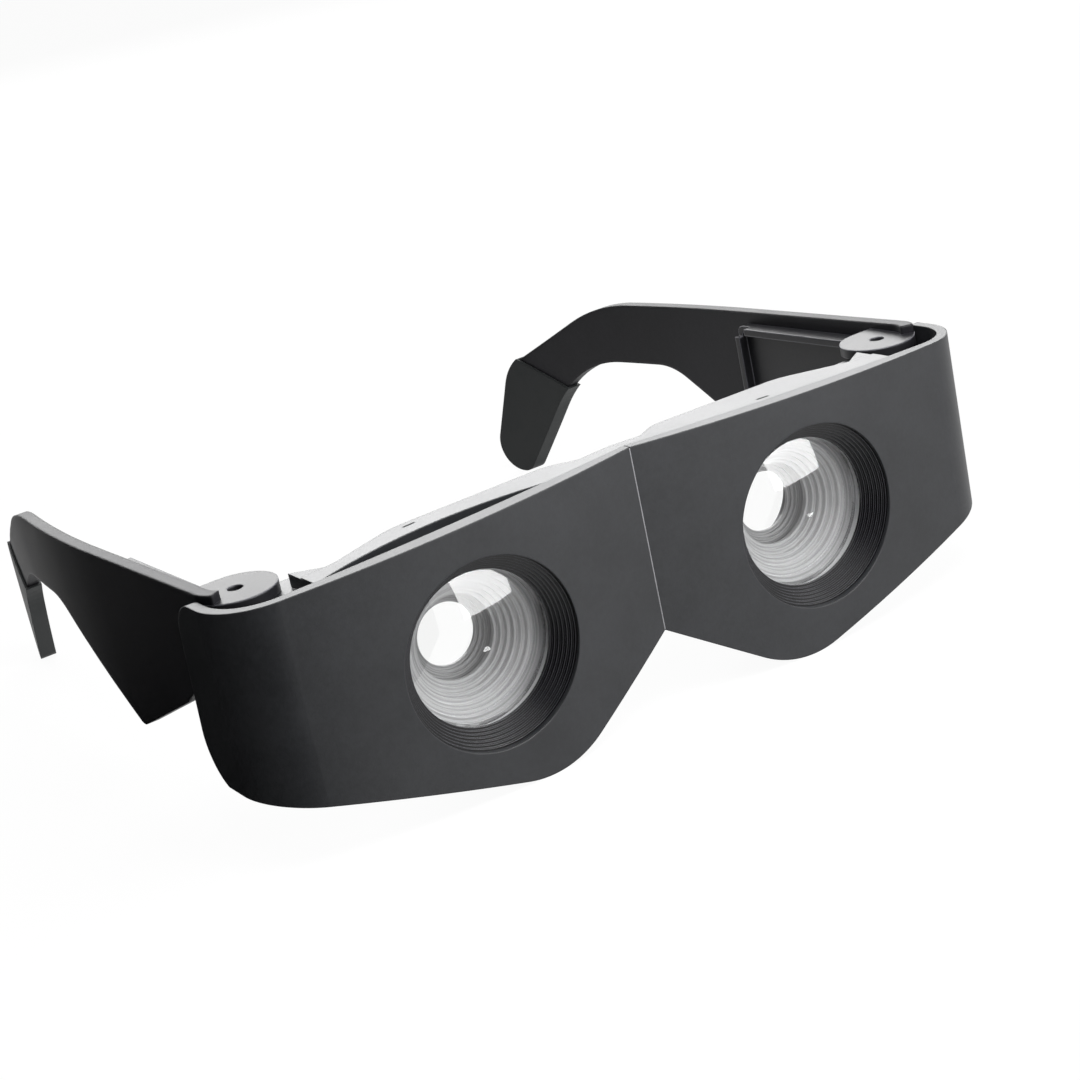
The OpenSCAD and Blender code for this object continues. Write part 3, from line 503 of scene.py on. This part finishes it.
def add_seam_highlight_bead():
    """The fine bead where the two covers meet, coloured pale as a painted highlight: a thin pale
    line along the seam.
    """
    width, thickness = 0.26 * MM, 0.3 * MM
    sunk, end_gap, corner_r = 0.05 * MM, 0.2 * MM, 0.08 * MM
    notch_z = LENS_HEIGHT - NOTCH_DROP
    height = TOP_Z - notch_z - 2 * end_gap
    form = bmesh.new()
    bmesh.ops.create_cube(form, size=1.0)
    bmesh.ops.scale(form, vec=(width, thickness, height), verts=form.verts)
    middle_y = FRONT_Y + SEAM_DEPTH + thickness / 2 - sunk
    middle = Vector((0.0, middle_y, notch_z + end_gap + height / 2))
    bmesh.ops.translate(form, vec=middle, verts=form.verts)
    upright = [e for e in form.edges if abs(e.verts[0].co.z - e.verts[1].co.z) > height / 2]
    bmesh.ops.bevel(
        form, geom=upright, offset=corner_r, segments=3, profile=0.5, affect="EDGES", material=-1
    )
    bmesh.ops.recalc_face_normals(form, faces=form.faces)
    add_piece("seam_bead", form, SEAM_HIGHLIGHT_FINISH, "frame")


def deepen_left_gap():
    """Stands the housing in with a deeper relief behind the left cover, where the gap is wide."""
    deeper_by, arc_reach, low_reach = 0.9, 0.02 * MM, 0.1 * MM
    smooth_up_to = math.radians(30)
    edge_y = FRONT_Y + COVER_MIDDLE_WALL
    relief_r = (RELIEF_HALF_LENGTH ** 2 + RELIEF_DEPTH ** 2) / (2 * RELIEF_DEPTH)
    axis = Vector((RELIEF_X, edge_y + RELIEF_DEPTH - relief_r))
    form = welded_copy("rear_housing")
    for vert in form.verts:
        on_arc = abs((vert.co.xy - axis).length - relief_r) < arc_reach
        if on_arc and vert.co.z > LENS_HEIGHT + RELIEF_LOW - low_reach:
            vert.co.y += deeper_by * max(0.0, vert.co.y - edge_y)
    form.normal_update()
    for edge in form.edges:
        edge.smooth = edge.calc_face_angle(math.pi) < smooth_up_to
    finish = FINISHES["rear_housing"]
    piece = add_piece("housing_with_deep_relief", form, finish, "frame")
    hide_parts("rear_housing")


deepen_left_gap()
dress_screws("housing_screws", "frame", steel)
for side in SIDES:
    dress_screws(side + "_bracket_screws", side + "_arm_body", dark_steel)
add_seam_highlight_bead()

# The camera of the photograph, fitted to the openings, the seam and the edges of the front.
# Angles are in degrees.
PICTURE_WIDTH = 1080
CAMERA_AZIMUTH = -28.852
CAMERA_ELEVATION = 18.611
CAMERA_ROLL = -12.086
CAMERA_DISTANCE = 358.552 * MM
CAMERA_RIGHT = -19.755 * MM
CAMERA_RISE = 6.717 * MM
FOCAL_PIXELS = 2266.3
SENSOR_MM = 36.0


def toward(azimuth, elevation):
    """The direction of what is seen at that azimuth and elevation, in degrees."""
    a, e = math.radians(azimuth), math.radians(elevation)
    return Vector((math.sin(a) * math.cos(e), -math.cos(a) * math.cos(e), math.sin(e)))


def add_camera():
    """The photograph's camera, looking past the point between the two lenses."""
    azimuth, roll = math.radians(CAMERA_AZIMUTH), math.radians(CAMERA_ROLL)
    back = toward(CAMERA_AZIMUTH, CAMERA_ELEVATION)
    level = Vector((math.cos(azimuth), math.sin(azimuth), 0.0))
    rise = back.cross(level)
    right = math.cos(roll) * level + math.sin(roll) * rise
    up = math.cos(roll) * rise - math.sin(roll) * level
    aim = Vector((0.0, FRONT_Y, LENS_HEIGHT))
    spot = aim + CAMERA_DISTANCE * back + CAMERA_RIGHT * right + CAMERA_RISE * up
    data = bpy.data.cameras.new("camera")
    data.sensor_width = SENSOR_MM
    data.lens = FOCAL_PIXELS * SENSOR_MM / PICTURE_WIDTH
    data.clip_start = 0.01
    camera = bpy.data.objects.new("camera", data)
    turned = Matrix((right, up, back)).transposed()
    camera.matrix_world = Matrix.Translation(spot) @ turned.to_4x4()
    bpy.context.collection.objects.link(camera)
    bpy.context.scene.camera = camera


def add_lamp(name, spot, aim, width, height, power):
    """A soft rectangular lamp at a spot, facing the aim."""
    data = bpy.data.lights.new(name, "AREA")
    data.shape = "RECTANGLE"
    data.size = width
    data.size_y = height
    data.energy = power
    lamp = bpy.data.objects.new(name, data)
    lamp.location = spot
    lamp.rotation_euler = (spot - aim).to_track_quat("Z", "Y").to_euler()
    lamp.visible_camera = False
    bpy.context.collection.objects.link(lamp)


def add_softbox(name, azimuth, elevation, distance, width, height, power):
    """A softbox in that direction from the middle of the glasses."""
    middle = Vector((0.0, 0.0, LENS_HEIGHT))
    add_lamp(name, middle + toward(azimuth, elevation) * distance, middle, width, height, power)


def set_world(light):
    """White to look at, and a weak even light."""
    world = bpy.data.worlds.new("studio")
    bpy.context.scene.world = world
    shading = Shading(world)
    lit = shading.node("Background", None, {"Color": WHITE, "Strength": light})
    shown = shading.node("Background", None, {"Color": WHITE, "Strength": 1.0})
    both = shading.node("MixShader", None, {0: shading.seen(), 1: lit, 2: shown})
    shading.show("World Output", both)


def add_floor():
    """A pale floor that looks white and keeps a little of the shadow."""
    half_width, whiteness = 6.0, 0.95
    form = bmesh.new()
    bmesh.ops.create_grid(form, x_segments=1, y_segments=1, size=half_width)
    made = Finish("pale floor", (0.8, 0.8, 0.8), 0.7)
    glow = made.node("Emission", None, {"Color": WHITE, "Strength": 1.0})
    matt = Value(made, made.shader.outputs[0])
    both = made.node("MixShader", None, {0: made.seen() * whiteness, 1: matt, 2: glow})
    made.show("Material Output", both)
    add_object("floor", form, made.material)


def add_dark_card():
    """A black card round the left bend. Only gloss shows it, and the bend stays dark by it."""
    near, far, height, off_floor = 17 * MM, 0.6, 0.4, 0.3 * MM
    start, sweep, steps = toward(4, 0), math.radians(176), 24
    middle = Vector((-60 * MM, FRONT_Y + 15 * MM, 0.0))
    low = middle + Vector((0.0, 0.0, off_floor))
    profile = (low + start * near, low + start * far, low + start * far + Vector((0, 0, height)))
    form = bmesh.new()
    corners = [bmesh.ops.create_vert(form, co=spot)["vert"][0] for spot in profile]
    edges = [
        bmesh.ops.contextual_create(form, geom=pair)["edges"][0]
        for pair in zip(corners, corners[1:])
    ]
    turn = {"axis": (0.0, 0.0, 1.0), "cent": middle, "angle": -sweep, "steps": steps}
    bmesh.ops.spin(form, geom=corners + edges, **turn)
    black = Finish("black card", (0.002, 0.002, 0.002), 0.9, specular_ior_level=0.0)
    card = add_object("dark card", form, black.material)
    card.visible_camera = False
    card.visible_shadow = False
    card.visible_diffuse = False


add_camera()
set_world(light=0.08)
add_floor()
add_dark_card()
add_softbox("window light", 31, 12, distance=1.3, width=0.75, height=0.65, power=12.0)
add_softbox("overhead light", 0, 66, distance=1.3, width=0.8, height=0.6, power=8.0)
add_softbox("back light", 160, 28, distance=1.4, width=1.6, height=0.7, power=22.0)
add_lamp(
    "strip light",
    spot=Vector((15 * MM, FRONT_Y - 57 * MM, TOP_Z + 95 * MM)),
    aim=Vector((8 * MM, FRONT_Y, LENS_HEIGHT + 8 * MM)),
    width=0.14, height=0.06, power=0.3,
)

bpy.context.scene.view_settings.view_transform = "Standard"
